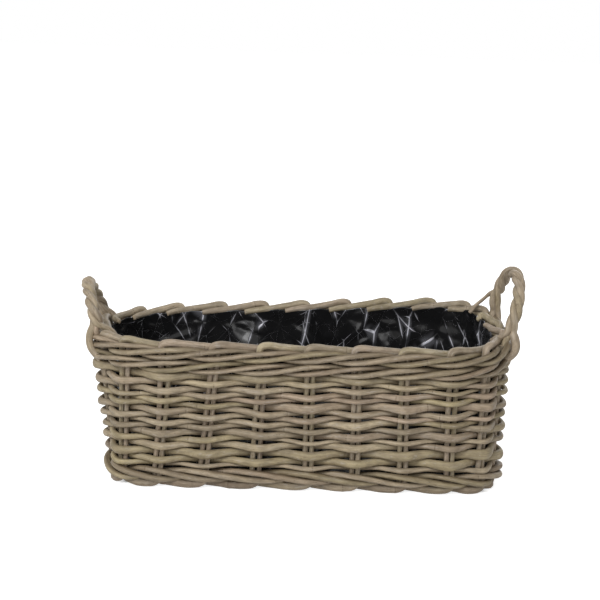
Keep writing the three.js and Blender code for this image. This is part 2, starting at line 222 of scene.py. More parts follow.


# Rod: a ring carried along a path; ring point = centre + side*cos(turn)*acrossHalf + up*sin(turn)*upHalf,
# both half sizes swelling at the growth rings; an open rod gets bevelled, flat cut ends; seam is painted
# shade on the sides that lie against the next rod
def rodPiece(name, path, side, acrossHalf, upHalf, closed, seed, tone, tint, paintedShade, seam=0.1, sides=None,
             squareness=2.0):
    rng = np.random.default_rng(seed)
    sides = sides or cane["sides"]
    station = [np.broadcast_to(np.asarray(v, float), (len(path),)).copy() for v in
               (acrossHalf, upHalf, tone, tint, paintedShade)]
    if not closed:
        first = path[0] + unit(path[0] - path[1]) * cane["cutBevel"]
        last = path[-1] + unit(path[-1] - path[-2]) * cane["cutBevel"]
        path = np.concatenate([[first], path, [last]])
        side = np.concatenate([side[:1], side, side[-1:]])
        station = [np.concatenate([v[:1], v, v[-1:]]) for v in station]
        for half in station[:2]:
            half[[0, -1]] *= cane["cutShare"]
    across, up, tone, tint, paintedShade = station
    count = len(path)
    forward = np.roll(path, -1, 0) - np.roll(path, 1, 0) if closed else np.gradient(path, axis=0)
    forward = unit(forward)
    side = unit(side - forward * np.sum(side * forward, -1, keepdims=True))
    upward = np.cross(forward, side)
    gaps = np.linalg.norm(np.diff(np.concatenate([path, path[:1]]), axis=0), axis=1)
    travelled = np.concatenate([[0.0], np.cumsum(gaps)])
    along = travelled[:-1]
    ringAt = np.cumsum(rng.uniform(*cane["ringSpacing"], int(travelled[-1] / cane["ringSpacing"][0]) + 4))
    ringAt = np.concatenate([[cane["ringBefore"]], ringAt - rng.uniform(0, cane["ringSpacing"][1])])
    nearest = np.argmin(np.abs(along[:, None] - ringAt[None, :]), axis=1)
    ringOff = along - ringAt[nearest]
    swell = 1 + cane["ringSwell"] * np.exp(-(ringOff / cane["ringWidth"]) ** 2)
    turn = np.arange(sides) / sides * fullTurn
    c, s = np.cos(turn), np.sin(turn)
    edge = (np.abs(c) ** squareness + np.abs(s) ** squareness) ** (-1 / squareness)
    lump = 1 + cane["lumps"] * (
        wander(rng, count, max(4, count // 9), closed)[:, None] * np.cos(turn * 2 + 1)
        + wander(rng, count, max(4, count // 12), closed)[:, None] * np.cos(turn * 3 + 2)) * 0.6
    reach = swell[:, None] * lump * edge
    ring = (path[:, None, :] + side[:, None, :] * (across[:, None] * reach * c)[..., None]
            + upward[:, None, :] * (up[:, None] * reach * s)[..., None])
    vertices = ring.reshape(-1, 3)
    span = count if closed else count - 1
    i, k = (v.ravel() for v in np.meshgrid(np.arange(span), np.arange(sides), indexing="ij"))
    j, n = (i + 1) % count, (k + 1) % sides
    quads = np.stack([i * sides + k, i * sides + n, j * sides + n, j * sides + k], -1)
    u = travelled[i] * metre + rng.uniform(0, 40)
    v = travelled[i + 1] * metre - travelled[i] * metre
    quadUv = np.stack([np.stack([u, k / sides], -1), np.stack([u, (k + 1) / sides], -1),
                       np.stack([u + v, (k + 1) / sides], -1), np.stack([u + v, k / sides], -1)], 1)
    triangles = np.zeros((0, 3), int)
    loopUv = quadUv.reshape(-1, 2)
    marks = {key: np.repeat(values, sides) for key, values in
             (("tone", tone), ("tint", tint), ("ringOff", ringOff))}
    # painted shade: the station's own value, plus more on the top and bottom sides that lie against the next
    # rod
    marks["paintedShade"] = np.clip(paintedShade[:, None] + seam * np.abs(s) ** cane["seamEdge"], 0, 1).ravel()
    marks["pith"] = np.zeros(len(vertices))
    if not closed:
        ends = path[[0, -1]] + forward[[0, -1]] * np.array([[-0.1], [0.1]])
        low, high = len(vertices), len(vertices) + 1
        k = np.arange(sides)
        n = (k + 1) % sides
        lastRing = (count - 1) * sides
        triangles = np.concatenate([np.stack([np.full(sides, low), n, k], -1),
                                    np.stack([np.full(sides, high), lastRing + k, lastRing + n], -1)])
        vertices = np.concatenate([vertices, ends])
        marks = {key: np.concatenate([values, values[[0, -1]]]) for key, values in marks.items()}
        marks["pith"][:sides] = 1
        marks["pith"][lastRing:] = 1
        capUv = np.stack([np.cos(turn), np.sin(turn)], -1) * across.mean() * metre
        fan = np.stack([np.zeros((sides, 2)), capUv[k], capUv[n]], 1).reshape(-1, 2)
        loopUv = np.concatenate([loopUv, fan, fan])
    return meshPiece(name, vertices, quads, triangles, loopUv, marks)


# Adds a shader node, sets its properties, and fills its inputs with values or links
def addNode(tree, kind, inputs=None, **settings):
    made = tree.nodes.new(kind)
    for key, value in settings.items():
        setattr(made, key, value)
    for key, value in (inputs or {}).items():
        if isinstance(value, bpy.types.NodeSocket):
            tree.links.new(value, made.inputs[key])
        else:
            made.inputs[key].default_value = value
    return made


def mathNode(tree, operation, first, second=0.0, third=0.5, clamp=False):
    inputs = {0: first, 1: second, 2: third}
    return addNode(tree, "ShaderNodeMath", inputs, operation=operation, use_clamp=clamp).outputs[0]


def vectorNode(tree, operation, first, second=(0, 0, 0)):
    return addNode(tree, "ShaderNodeVectorMath", {0: first, 1: second}, operation=operation).outputs[0]


def scaleVector(tree, vector, share):
    inputs = {0: vector, "Scale": share}
    return addNode(tree, "ShaderNodeVectorMath", inputs, operation="SCALE").outputs[0]


def noiseNode(tree, vector, scale, detail, rough=0.5):
    inputs = {"Vector": vector, "Scale": scale, "Detail": detail, "Roughness": rough}
    return addNode(tree, "ShaderNodeTexNoise", inputs)


def mixColor(tree, share, first, second):
    return addNode(tree, "ShaderNodeMix", {0: share, 6: first, 7: second}, data_type="RGBA").outputs[2]


def mapRange(tree, value, low, high, newLow=0.0, newHigh=1.0):
    inputs = {0: value, 1: low, 2: high, 3: newLow, 4: newHigh}
    return addNode(tree, "ShaderNodeMapRange", inputs, interpolation_type="SMOOTHSTEP").outputs[0]


def readMark(tree, name):
    return addNode(tree, "ShaderNodeAttribute", attribute_name=name).outputs["Fac"]


# A new material, with its node tree and its shader
def newFinish(name, specular):
    finish = bpy.data.materials.new(name)
    finish.use_nodes = True
    shader = finish.node_tree.nodes["Principled BSDF"]
    shader.inputs["Specular IOR Level"].default_value = specular
    return finish, finish.node_tree, shader


def feedShader(tree, shader, color, rough, normal):
    for key, socket in (("Base Color", color), ("Roughness", rough), ("Normal", normal)):
        tree.links.new(socket, shader.inputs[key])


# The patterns on a cane (scale along it and round it, detail, and a shift that sets each apart), the
# colours that weather lays over it, and the colour of the painted shade
caneWear = {
    "fibre": (45.0, 6.0, 3.0, 3.1),
    "streak": (16.0, 2.2, 3.0, 17.7),
    "patch": (30.0, 0.8, 4.0, 41.3),
    "blotch": (95.0, 0.9, 3.0, 71.9),
    "flake": (130.0, 1.5, 2.0, 90.7),
    "speck": (240.0, 2.6, 2.0, 57.1),
    "silverColor": (0.47, 0.425, 0.375, 1),
    "flakeColor": (0.52, 0.472, 0.42, 1),
    "speckColor": (0.12, 0.085, 0.05, 1),
    "streakColor": (0.15, 0.105, 0.06, 1),
    "collarColor": (0.46, 0.39, 0.29, 1),   # beside a growth ring
    "ringColor": (0.1, 0.065, 0.04, 1),
    # painted shade, laid over the cane in its seams and where it passes behind the stakes
    "paintedShadeColor": (0.068, 0.039, 0.014, 1),
    "pithColors": ((0.36, 0.27, 0.17, 1), (0.52, 0.43, 0.31, 1)),
    "collarAt": 1.6,
    "collarShare": 0.16,
    "paintedShadeShare": 0.8,
}


# Weathered cane, worked out along and round each rod: tints by length of cane, long fibre streaks,
# silvery patches, dark growth rings, painted shade on tucked-away parts and seams, and pale cut ends
def caneSurface():
    group = bpy.data.node_groups.new("caneSurface", "ShaderNodeTree")
    for way, kind, names in (("INPUT", "NodeSocketColor", ("Rosy", "Taupe", "Olive")),
                             ("INPUT", "NodeSocketFloat", ("Streak", "Silver", "Rings")),
                             ("OUTPUT", "NodeSocketColor", ("Color",)),
                             ("OUTPUT", "NodeSocketFloat", ("Roughness", "Height"))):
        for name in names:
            group.interface.new_socket(name, in_out=way, socket_type=kind)
    given = group.nodes.new("NodeGroupInput").outputs
    uv = addNode(group, "ShaderNodeUVMap", uv_map="surface").outputs[0]
    parts = addNode(group, "ShaderNodeSeparateXYZ", {0: uv}).outputs
    angle = mathNode(group, "MULTIPLY", parts[1], fullTurn)
    cosine = mathNode(group, "COSINE", angle)
    sine = mathNode(group, "SINE", angle)

    def times(first, second):
        return mathNode(group, "MULTIPLY", first, second)

    def rodNoise(name):
        alongScale, roundScale, detail, shift = caneWear[name]
        place = addNode(group, "ShaderNodeCombineXYZ", {
            0: mathNode(group, "MULTIPLY_ADD", parts[0], alongScale),
            1: times(cosine, roundScale), 2: times(sine, roundScale)})
        moved = vectorNode(group, "ADD", place.outputs[0], (shift, shift, shift))
        return noiseNode(group, moved, 1.0, detail, 0.6).outputs[0]

    fibre, streak, patch = (rodNoise(name) for name in ("fibre", "streak", "patch"))
    tint = mathNode(group, "MULTIPLY_ADD", patch, 0.5, -0.25)
    tint = mathNode(group, "ADD", tint, readMark(group, "tint"), clamp=True)
    color = mixColor(group, mapRange(group, tint, 0.0, 0.5), given["Rosy"], given["Taupe"])
    color = mixColor(group, mapRange(group, tint, 0.5, 1.0), color, given["Olive"])
    blotch = mapRange(group, rodNoise("blotch"), 0.3, 0.7, 0.72, 1.2)
    color = scaleVector(group, color, times(readMark(group, "tone"), blotch))
    silver = times(mapRange(group, patch, 0.5, 0.72), given["Silver"])
    color = mixColor(group, silver, color, caneWear["silverColor"])
    flake = times(mapRange(group, rodNoise("flake"), 0.6, 0.67), given["Silver"])
    color = mixColor(group, flake, color, caneWear["flakeColor"])
    speck = times(mapRange(group, rodNoise("speck"), 0.36, 0.29), given["Streak"])
    color = mixColor(group, speck, color, caneWear["speckColor"])
    dark = times(mapRange(group, streak, 0.58, 0.36), 0.6)
    dark = mathNode(group, "MULTIPLY_ADD", mapRange(group, fibre, 0.62, 0.38), 0.45, dark)
    dark = mathNode(group, "MULTIPLY", dark, given["Streak"], clamp=True)
    color = mixColor(group, dark, color, caneWear["streakColor"])
    ringOff = readMark(group, "ringOff")
    beside = mathNode(group, "ABSOLUTE", mathNode(group, "SUBTRACT", ringOff, caneWear["collarAt"]))
    collar = times(mapRange(group, beside, 1.4, 0.3), caneWear["collarShare"])
    color = mixColor(group, collar, color, caneWear["collarColor"])
    ring = times(mapRange(group, mathNode(group, "ABSOLUTE", ringOff), 0.9, 0.1), given["Rings"])
    ring = times(ring, mapRange(group, streak, 0.62, 0.4))
    color = mixColor(group, ring, color, caneWear["ringColor"])
    # painted shade: darkens the tucked-away parts and the seams against the next rod
    paintedShade = mathNode(group, "MULTIPLY", readMark(group, "paintedShade"), caneWear["paintedShadeShare"], clamp=True)
    color = mixColor(group, paintedShade, color, caneWear["paintedShadeColor"])
    pith = mixColor(group, fibre, *caneWear["pithColors"])
    color = mixColor(group, readMark(group, "pith"), color, pith)
    rough = mapRange(group, streak, 0.3, 0.7, 0.52, 0.72)
    height = mathNode(group, "MULTIPLY_ADD", fibre, 0.6, times(streak, 0.5))
    height = mathNode(group, "SUBTRACT", height, times(ring, 0.35))
    addNode(group, "NodeGroupOutput", {"Color": color, "Roughness": rough, "Height": height})
    return group


caneGroup = caneSurface()

caneFinishes = {
    "stake_cane": {
        "Rosy": (0.42, 0.335, 0.25, 1), "Taupe": (0.415, 0.345, 0.25, 1), "Olive": (0.40, 0.34, 0.22, 1),
        "Streak": 0.55, "Silver": 0.4, "Rings": 0.7},
    "weaver_cane": {
        "Rosy": (0.40, 0.308, 0.222, 1), "Taupe": (0.38, 0.312, 0.216, 1), "Olive": (0.385, 0.32, 0.182, 1),
        "Streak": 0.5, "Silver": 0.35, "Rings": 0.75},
    "wale_cane": {
        "Rosy": (0.378, 0.296, 0.21, 1), "Taupe": (0.368, 0.302, 0.21, 1), "Olive": (0.372, 0.31, 0.184, 1),
        "Streak": 0.7, "Silver": 0.3, "Rings": 0.75},
    "handle_cane": {
        "Rosy": (0.41, 0.32, 0.235, 1), "Taupe": (0.40, 0.325, 0.235, 1), "Olive": (0.40, 0.33, 0.21, 1),
        "Streak": 0.5, "Silver": 0.25, "Rings": 0.6},
}


# One cane material per slot: the shared surface feeds colour, roughness and a fine fibre bump
def caneMaterial(slotName, values):
    finish, tree, shader = newFinish(slotName, 0.4)
    surface = addNode(tree, "ShaderNodeGroup", values, node_tree=caneGroup).outputs
    inputs = {"Height": surface["Height"], "Strength": 0.45, "Distance": 0.0006}
    bump = addNode(tree, "ShaderNodeBump", inputs).outputs[0]
    feedShader(tree, shader, surface["Color"], surface["Roughness"], bump)
    return finish


finishes = {key: caneMaterial(key, values) for key, values in caneFinishes.items()}
print("cane finishes ready")

# Camera: where the photograph was taken from, in millimetres and radians
cameraPlace = {
    "position": (-43.72, -1402.6, 451.5),
    "yaw": 0.0296,
    "pitch": 0.1913,
    "roll": -0.0365,
    "lens": 81.03,
    "sensor": 36.0,
}


def addCamera():
    cy, sy = np.cos(cameraPlace["yaw"]), np.sin(cameraPlace["yaw"])
    cp, sp = np.cos(cameraPlace["pitch"]), np.sin(cameraPlace["pitch"])
    cr, sr = np.cos(cameraPlace["roll"]), np.sin(cameraPlace["roll"])
    forward = np.array([sy * cp, cy * cp, -sp])
    right = np.array([cy, -sy, 0.0])
    down = np.cross(forward, right)
    right, down = cr * right + sr * down, -sr * right + cr * down
    place = np.eye(4)
    place[:3, 0], place[:3, 1], place[:3, 2] = right, -down, -forward
    place[:3, 3] = np.array(cameraPlace["position"]) * metre
    data = bpy.data.cameras.new("photoCamera")
    data.lens = cameraPlace["lens"]
    data.sensor_width = cameraPlace["sensor"]
    data.clip_end = 100
    camera = bpy.data.objects.new("photoCamera", data)
    camera.matrix_world = Matrix(place.tolist())
    bpy.context.scene.collection.objects.link(camera)
    bpy.context.scene.camera = camera


addCamera()

# Randing: rows of cane, each in front of one pair of stakes and behind the next
weavers = {
    "rows": 16,
    "bottom": 22.8,
    "top": 122.6,
    "reach": 6.1,            # depth of a crest from the middle of the stakes
    "kink": 0.93,            # nearer 1 turns more sharply at the stakes and runs straighter between them
    "sag": 2.0,              # how far a rod sags at the stakes below where the rows cross
    "crossing": 0.22,        # how round its turn is there
    "dip": -0.2,             # how far it lies lower in front of a pair, and higher behind
    "depthHalf": 3.1,
    "crestSwell": 1.13,      # height of a rod over the height of a row, at a crest and where two rows cross
    "crossSwell": 0.91,
    "thickness": 0.2,        # spread of thickness between lengths of cane
    "sizeRange": (0.75, 1.3),
    "depthShare": 0.45,      # how far the depth of a rod follows its thickness
    "samples": 500,
    "startPair": 13,         # at the back, out of sight
    "lengths": (3, 5),       # lengths of cane in a row
    "blend": 22.0,           # higher passes more abruptly from one length's thickness to the next
    "tones": (0.75, 1.18),
    "uneven": (0.07, 0.45),  # of the crests, as a share, and of the level
    "tilt": 0.03,            # climb of the middle rows towards the right
    # painted shade along the top and bottom of each rod, where it lies against the next
    "seam": 0.36,
    "tucked": 0.6,           # painted shade behind the stakes
    "seed": 410,
}


# Depth: the reach times a cosine of the pair number, sharpened by an arcsine; the heights of the rows are
# stacked by the thickness of each length of cane, so that they fill the wall evenly
def weaveRows():
    w = weavers
    count, rows = w["samples"], w["rows"]
    rng = np.random.default_rng(w["seed"])
    along = pairAlong(w["startPair"]) + np.arange(count) / count * fullLength
    phase = pairIndex(along)
    thick = np.ones((rows, count))
    tone = np.zeros((rows, count))
    tint = np.zeros((rows, count))
    for row in range(rows):
        lengths = rng.integers(w["lengths"][0], w["lengths"][1] + 1)
        behind = np.arange(0, pairCount, 2) + w["startPair"] + row % 2
        breaks = np.sort(rng.choice(behind, lengths, replace=False))
        which = np.searchsorted(breaks, phase) % lengths
        thick[row] = np.exp(rng.normal(0, w["thickness"], lengths))[which]
        tone[row] = rng.uniform(*w["tones"], lengths)[which]
        tint[row] = rng.beta(1.6, 1.6, lengths)[which]
    spectrum = np.fft.rfft(thick, axis=1)
    soften = np.exp(-0.5 * (np.arange(spectrum.shape[1]) / w["blend"]) ** 2)
    thick = np.fft.irfft(spectrum * soften, count, axis=1)
    share = thick / thick.sum(0)
    tall = share * (w["top"] - w["bottom"])
    middle = w["bottom"] + np.cumsum(tall, 0) - tall / 2
    level = (middle - w["bottom"]) / (w["top"] - w["bottom"])
    climb = w["tilt"] * planAt(along, wall["cornerRadius"])[0]
    middle = middle + climb * 4 * level * (1 - level)
    tall = tall * (1 + climb * 4 * (1 - 2 * level) / (w["top"] - w["bottom"]))
    for row in range(rows):
        wave = np.cos(np.pi * (phase + row))
        bend = np.arcsin(w["kink"] * wave) / np.arcsin(w["kink"])
        crest = 1 + w["uneven"][0] * wander(rng, count, pairCount, True)
        depth = w["reach"] * bend * crest
        height = middle[row] + w["sag"] * (0.5 - np.hypot(bend, w["crossing"])) - w["dip"] * bend
        height = height + w["uneven"][1] * wander(rng, count, pairCount, True)
        size = np.clip(thick[row], *w["sizeRange"])
        swell = w["crossSwell"] + (w["crestSwell"] - w["crossSwell"]) * np.abs(bend) ** 0.9
        upHalf = tall[row] / 2 * swell
        acrossHalf = w["depthHalf"] * (1 - w["depthShare"] + w["depthShare"] * size)
        depth = depth + np.sign(bend) * bend ** 2 * (acrossHalf - w["depthHalf"])
        path, side = wallPoints(along, height, depth)
        # painted shade where the rod passes behind the stakes
        paintedShade = w["tucked"] * np.clip(-bend - 0.15, 0, 1)
        name = f"weaver_row_{row + 1:02d}"
        piece = rodPiece(name + "_cane", path, side, acrossHalf, upHalf, True, w["seed"] + row,
                         tone[row], tint[row], paintedShade, w["seam"])
        standFor(piece, name, finishes["weaver_cane"])


weaveRows()
print("rows woven")

# Waling: three canes twined, each in front of two pairs and behind one, climbing or falling as it goes
wales = {
    # name, level, climb, half thickness, height over thickness, half the height between the rods in front
    "bands": (("upper_wale", 142.4, 1, 3.4, 0.8, 3.8), ("lower_wale", 129.2, 1, 3.3, 0.8, 3.7),
              ("foot_wale", 14.7, -1, 3.7, 0.82, 4.0)),
    "reach": 6.5,
    "bend": (0.333, 1.05, -0.283),   # fixed part and two cosines of the depth
    "crestSine": 0.866,              # sine at the two pairs in front
    "startPair": 12,
    "tones": (0.7, 1.16),
    "uneven": (0.07, 0.05, 0.4),     # of thickness and depth, as shares, and of the level
    "thinBehind": 0.16,
    "tucked": 0.35,                  # painted shade behind the stakes
    # painted shade along the top and bottom of each cane, where it lies against the next
    "seam": 0.85,
    "samples": 520,
    "seed": 720,
}


# Depth and rise over one stroke of three pairs: a fixed part and two cosines for the depth, a sine for
# the rise
def twineWales():
    w = wales
    count = w["samples"]
    for b, (band, level, climb, rodHalf, flatness, step) in enumerate(w["bands"]):
        for strand in range(3):
            seed = w["seed"] + b * 10 + strand
            rng = np.random.default_rng(seed)
            behind = (3 - strand) % 3 + w["startPair"]
            along = pairAlong(behind) + np.arange(count) / count * fullLength
            phase = pairIndex(along)
            place = fullTurn * (np.mod(phase + strand, 3) - 1.5) / 3
            bend = w["bend"][0] + w["bend"][1] * np.cos(place) + w["bend"][2] * np.cos(2 * place)
            rise = climb * step * (np.sin(place) / w["crestSine"])
            stroke = np.floor((phase + strand) / 3).astype(int)
            stroke = stroke - stroke.min()
            lengths = rng.integers(0, 5, stroke.max() + 1).cumsum() // 4
            which = lengths[stroke]
            tone = rng.uniform(*w["tones"], which.max() + 1)[which]
            tint = rng.beta(1.7, 1.5, which.max() + 1)[which]
            thick, deep, high = (share * wander(rng, count, pairCount, True) for share in w["uneven"])
            tucked = np.clip(-bend, 0, 1)
            half = rodHalf * (1 + thick) * (1 - w["thinBehind"] * tucked)
            path, side = wallPoints(along, level + rise + high, w["reach"] * bend * (1 + deep))
            name = f"{band}_{strand + 1:02d}"
            # painted shade where the cane runs behind the stakes, and along its seams
            piece = rodPiece(name + "_cane", path, side, half, half * flatness, True, seed, tone, tint,
                             w["tucked"] * tucked, w["seam"])
            standFor(piece, name, finishes["wale_cane"])


twineWales()
print("waling twined")

# Stakes: a rod folded under the foot, standing in two neighbouring pairs and turned down into the border
stakes = {
    "half": 2.6,
    "borderHalf": 3.85,
    "footHalf": 3.7,
    "footRise": 0.16,        # how much taller than wide the rod is along the ground
    "tipShare": 0.76,        # how thin a border rod is at its cut end, and the length over which it thins
    "tipLength": 26.0,
    "trimTop": 145.5,
    "ground": 4.6,
    "hookTop": 151.6,
    "fall": 3.7,             # how far a border rod falls from one hook to the next
    "tailShare": (0.36, 0.5),        # how far it runs on from there, as a share of the way to the next pair
    "handleTail": 0.3,       # share of that length by a handle
    "borderFrom": 0.72,      # share of its length where a rod begins to thicken for the border, and over what
    "borderOver": 0.12,
    # heights below which a rod begins to be thicker, taller and darker with painted shade, and over what
    # height
    "footEase": (16.0, 7.0),
    "riseEase": (12.0, 4.0),
    "paintedShadeEase": (14.0, 8.0),
    # painted shade at the foot, near the ground
    "paintedShade": 0.38,
    "uneven": 0.04,
    "tones": (0.84, 1.1),
    "spacing": 1.5,
    "seed": 130,
}


# Places along the wall, up and outwards: from the trimmed end down one pair, along the ground, up the pair
# to the left and over into the border
def stakePoints(index, rng):
    here, after, second = (float(pairAlong(index + k)) for k in range(3))
    left = hookAlong(index)
    right = 2 * after - hookAlong(index + 1)
    pitch, nextPitch = after - here, second - after
    ground, top = stakes["ground"], stakes["hookTop"] + rng.uniform(-0.5, 0.6)
    jig = rng.uniform(-1, 1, 12)
    tailLength = nextPitch * rng.uniform(*stakes["tailShare"])
    tail = after + tailLength * (stakes["handleTail"] if holdsHandle(index + 1) else 1)
    fall = stakes["fall"]
    front = 0 if holdsHandle(index + 1) else stakes["footHalf"]
    rear = 0 if holdsHandle(index) else stakes["footHalf"]
    return [
        (right, stakes["trimTop"], 0),
        (right + 0.4 * jig[0], 112, 0),
        (right + 0.4 * jig[1], 72, 0),
        (right, 36, 0),
        (right, 21, 0.05 * front),
        (right - 0.4, 13.5, 0.35 * front),
        (right - 2.0, 8.4, 0.9 * front),
        (right - 5.5, 6.0 + 0.3 * jig[2], front),
        (right - 12.0, 5.0 + 0.25 * jig[3], front + 0.3),
        (after - 0.4 * pitch, ground + 0.1, 0.8 * front + 0.4 * jig[4]),
        (here + 0.5 * pitch, ground, 1.6 + 0.5 * jig[5]),
        (here + 0.38 * pitch, ground + 0.1, -0.2 * rear),
        (left + 12.0, 5.0 + 0.25 * jig[6], -0.9 * rear),
        (left + 5.5, 6.0 + 0.3 * jig[7], -rear),
        (left + 2.0, 8.4, -0.9 * rear),
        (left + 0.4, 13.5, -0.35 * rear),
        (left, 21, -0.05 * rear),
        (left, 36, 0),
        (left + 0.4 * jig[8], 72, 0),
        (left + 0.4 * jig[9], 112, 0),
        (left, 143.0, 0.3),
        (left + 0.1, 149.2, 0.6),
        (left + 1.0, top - 0.4, 0.5),
        (left + 3.2, top + 0.3, 0.2),
        (left + 0.45 * pitch, top - 0.42 * fall + 0.4 + 0.3 * jig[10], -3.2),
        (hookAlong(index + 1), top - fall, -7.3),
        (after + 0.5 * (tail - after), top - 1.22 * fall, -9.0),
        (tail, top - 1.5 * fall + 0.5 * jig[11], -10.8),
    ]


# Half size: that of a stake, more along the ground and in the border, less towards the cut end
def setStakes():
    s = stakes

    def below(height, ease):
        return np.clip((ease[0] - height) / ease[1], 0, 1)

    for index in range(pairCount):
        rng = np.random.default_rng(s["seed"] + index)
        curve = easePath(splineThrough(stakePoints(index, rng), s["spacing"]), 1)
        along, height, depth = curve.T
        count = len(along)
        share = np.arange(count) / (count - 1)
        path, side = wallPoints(along, height, depth)
        size = 1 + s["uneven"] * wander(rng, count, 14)
        grow = np.clip((share - s["borderFrom"]) / s["borderOver"], 0, 1) * (s["borderHalf"] - s["half"])
        foot = below(height, s["footEase"]) * (s["footHalf"] - s["half"])
        tip = np.clip((count - 1 - np.arange(count)) * s["spacing"] / s["tipLength"], 0, 1)
        half = (s["half"] + grow + foot) * size * (s["tipShare"] + (1 - s["tipShare"]) * tip)
        tall = half * (1 + s["footRise"] * below(height, s["riseEase"]))
        tone = rng.uniform(*s["tones"]) + 0.1 * wander(rng, count, 6)
        tint = np.clip(rng.beta(1.6, 1.6) + 0.15 * wander(rng, count, 6), 0, 1)
        # painted shade, darker towards the ground
        paintedShade = s["paintedShade"] * below(height, s["paintedShadeEase"])
        name = f"stake_{index + 1:02d}"
        piece = rodPiece(name + "_cane", path, side, half, tall, False, s["seed"] + index,
                         tone, tint, paintedShade)
        standFor(piece, name, finishes["stake_cane"])


setStakes()
print("stakes set and border turned")

# Handles: three canes twisted into a rope that arches over each short end
handles = {
    # its two pairs, rise over the rim, outward set of the two legs at the rim and their lean above it, and
    # how the first two canes end at each leg
    "sides": (
        {"name": "right_handle", "pairs": (5, 7), "rise": 53.8, "outsets": (6.0, 4.5),
         "leans": (15.0, 11.5), "tails": (("shortTail", "innerTail"), ("outsideTail", "stayTail"))},
        {"name": "left_handle", "pairs": (17, 19), "rise": 40.5, "outsets": (8.0, 2.5),
         "leans": (18.5, 11.5), "tails": (("outsideTail", "innerTail"), ("outsideTail", "tuckedTail"))}),
    "shoulder": 10.0,        # straight part of each leg
    "turns": 3.0,
    "looseTwist": 0.12,
    "ropeRadius": 3.4,
    "strandHalf": 3.7,
    "uneven": 0.05,
    "shortSwell": 0.26,      # how much thicker the cane is that bulges out at the foot of a leg
    "swellEase": (46.0, 14.0),       # length of cane within which it thickens, and over what
    "tuckedHalf": 3.2,
    "stayHalf": 2.0,
    "thinEase": (26.0, 18.0),        # length of cane that stays thin at an end, and over what it thickens
    "drivenHalf": (2.75, 4.0),       # least and most of the cane driven in between the stakes
    "drivenFrom": 140.0,             # height at which it begins to grow, and by how much per millimetre
    "drivenGrow": 0.12,
    "tones": (0.92, 1.1),
    "stayFrom": 0.84,        # share of the arch where the stay leaves the rope
    # places along, up and outwards of a cane that leaves the rope
    "outsideTail": ((0.5, 152, 11.2), (1.0, 143, 12.8), (1.5, 135.5, 11.8), (4.0, 129.5, 8.6),
                    (8.0, 125, 4.5)),
    "shortTail": ((0.3, 157, 11.0), (0.8, 151, 14.0), (1.0, 145, 15.2), (1.5, 139.5, 14.0),
                  (4.0, 134.5, 9.5), (8.0, 130.5, 4.5)),
    "innerTail": ((0.5, 152.0, -2.4), (1.0, 145.0, -5.2), (1.2, 138.0, -7.0)),
    "tuckedTail": ((2.2, 157.6, -2.0), (4.0, 154.5, -7.5), (5.0, 150.0, -11.3), (6.0, 143.5, -14.0)),
    "stayTail": ((4.5, 170.5, 3.0), (10.0, 163.0, -3.0), (14.5, 156.5, -9.5), (17.0, 150.0, -14.5)),
    "drivenTail": ((0, 156, 5.6), (0, 149, 4.4), (0, 142, 1.6), (0, 130, 0), (0, 102, 0)),
    "margin": 0.03,          # share of the arch at each leg where the canes part
    "samples": 150,
    "spacing": 1.6,
    "seed": 905,
}


# Middle of the rope at a share of its length: a straight leg, half an ellipse, and a straight leg
def archPoints(handle, share):
    legs = [wallPoints(pairAlong(pair), wall["rimHeight"], outset)[0]
            for pair, outset in zip(handle["pairs"], handle["outsets"])]
    shoulder = handles["shoulder"]
    crown = handle["rise"] - shoulder
    arcLength = np.pi * np.hypot(np.linalg.norm(legs[1] - legs[0]) / 2, crown) * np.sqrt(0.5)
    travelled = share * (2 * shoulder + arcLength)
    angle = np.pi * np.clip((travelled - shoulder) / arcLength, 0, 1)
    leg = np.minimum(np.minimum(travelled, 2 * shoulder + arcLength - travelled), shoulder)
    across = (1 - np.cos(angle)) / 2
    points = legs[0] + (legs[1] - legs[0]) * across[:, None]
    over = leg + crown * np.sin(angle)
    lean = handle["leans"][0] + (handle["leans"][1] - handle["leans"][0]) * across
    points[:, 2] += over
    return points + handleFacing(handle) * (lean * over / handle["rise"])[:, None]


def handleFacing(handle):
    return planAt(pairAlong(np.mean(handle["pairs"])), wall["cornerRadius"])[2]


# Where a cane leaves the rope: down the outside, inside the border, or down between the stakes
def strandTail(handle, strand, leg):
    kind = (*handle["tails"][leg], "drivenTail")[strand]
    offset, height, depth = np.array(handles[kind]).T
    away = 2 * leg - 1
    return wallPoints(pairAlong(handle["pairs"][leg]) + away * offset, height, depth)[0]


